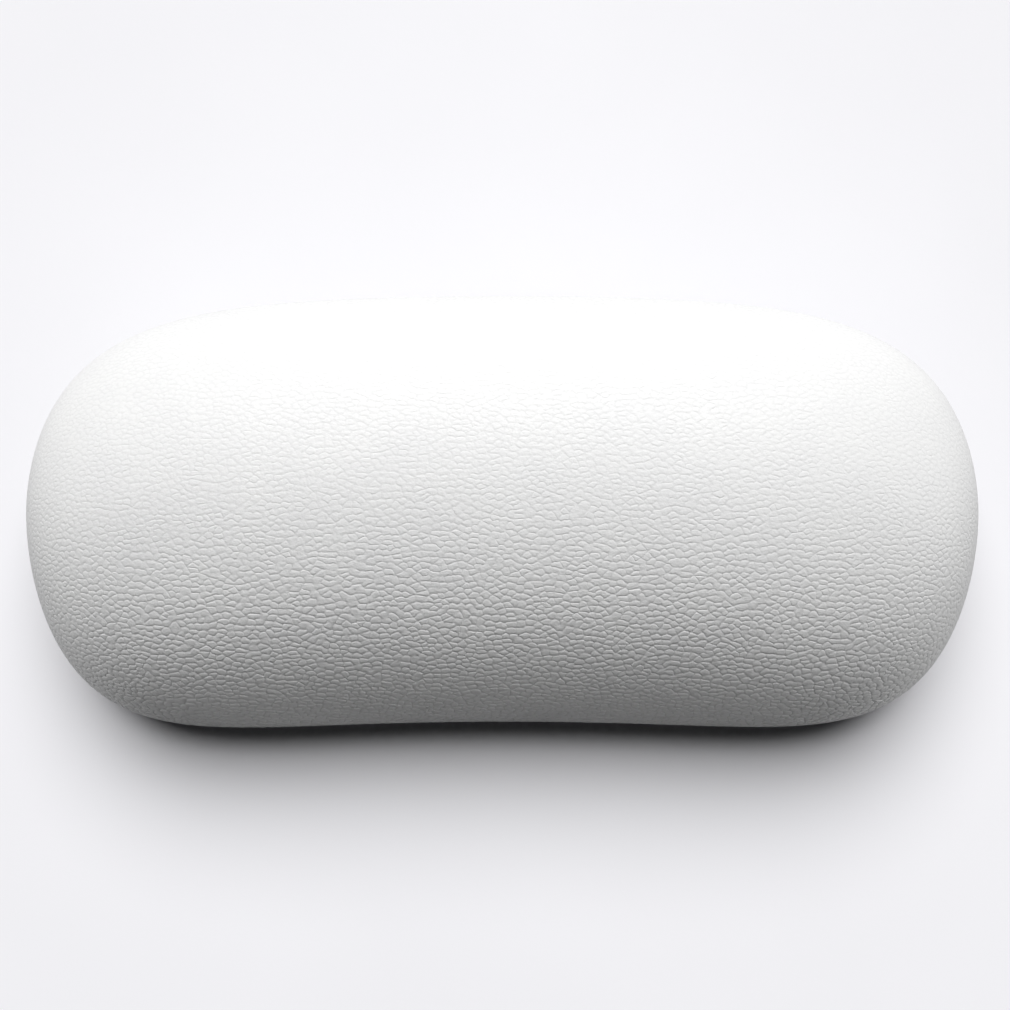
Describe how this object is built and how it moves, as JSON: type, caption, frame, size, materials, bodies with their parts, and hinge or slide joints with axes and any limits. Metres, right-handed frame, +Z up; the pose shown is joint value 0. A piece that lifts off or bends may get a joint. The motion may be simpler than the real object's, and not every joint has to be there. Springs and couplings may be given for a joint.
{
  "type": "bath pillow",
  "caption": "Bean-shaped grained foam headrest with a rigid insert and suction cups underneath, each on a stud that slides in a keyhole seat.",
  "frame": {"origin": "on the resting surface, under the middle of the pillow's box", "axes": "+X along the pillow, +Y from its hollowed front to its back, +Z up through the crown"},
  "size_m": [0.3, 0.1376, 0.078],
  "materials": {
    "skin": "satin leather grain",
    "foam": "open-cell foam",
    "insert": "matte moulded",
    "seat": "satin moulded",
    "stud": "smooth moulded",
    "cup": "clear soft PVC",
    "screw": "plated"
  },
  "bodies": {
    "pillow": {"grained_skin": "skin", "foam_core": "foam", "insert_plate": "insert", "cup_seat_front_left": "seat", "seat_screw_front_left_fore": "screw", "seat_screw_front_left_aft": "screw", "cup_seat_front_right": "seat", "seat_screw_front_right_fore": "screw", "seat_screw_front_right_aft": "screw", "cup_seat_back_left": "seat", "seat_screw_back_left_fore": "screw", "seat_screw_back_left_aft": "screw", "cup_seat_back_right": "seat", "seat_screw_back_right_fore": "screw", "seat_screw_back_right_aft": "screw"},
    "stud_front_left": {"cup_stud_front_left": "stud"},
    "cup_front_left": {"suction_cup_front_left": "cup"},
    "stud_front_right": {"cup_stud_front_right": "stud"},
    "cup_front_right": {"suction_cup_front_right": "cup"},
    "stud_back_left": {"cup_stud_back_left": "stud"},
    "cup_back_left": {"suction_cup_back_left": "cup"},
    "stud_back_right": {"cup_stud_back_right": "stud"},
    "cup_back_right": {"suction_cup_back_right": "cup"}
  },
  "joints": [
    {"name": "stud_slide_front_left", "type": "slide", "parent": "pillow", "child": "stud_front_left", "axis": [1, 0, 0], "range_m": [0, 0.009]},
    {"name": "cup_swivel_front_left", "type": "hinge", "parent": "stud_front_left", "child": "cup_front_left", "pos_m": [-0.0845, -0.023, 0.0063], "axis": [0, 0, 1], "continuous": true},
    {"name": "stud_slide_front_right", "type": "slide", "parent": "pillow", "child": "stud_front_right", "axis": [-1, 0, 0], "range_m": [0, 0.009]},
    {"name": "cup_swivel_front_right", "type": "hinge", "parent": "stud_front_right", "child": "cup_front_right", "pos_m": [0.0845, -0.023, 0.0063], "axis": [0, 0, 1], "continuous": true},
    {"name": "stud_slide_back_left", "type": "slide", "parent": "pillow", "child": "stud_back_left", "axis": [1, 0, 0], "range_m": [0, 0.009]},
    {"name": "cup_swivel_back_left", "type": "hinge", "parent": "stud_back_left", "child": "cup_back_left", "pos_m": [-0.0845, 0.023, 0.0063], "axis": [0, 0, 1], "continuous": true},
    {"name": "stud_slide_back_right", "type": "slide", "parent": "pillow", "child": "stud_back_right", "axis": [-1, 0, 0], "range_m": [0, 0.009]},
    {"name": "cup_swivel_back_right", "type": "hinge", "parent": "stud_back_right", "child": "cup_back_right", "pos_m": [0.0845, 0.023, 0.0063], "axis": [0, 0, 1], "continuous": true}
  ]
}
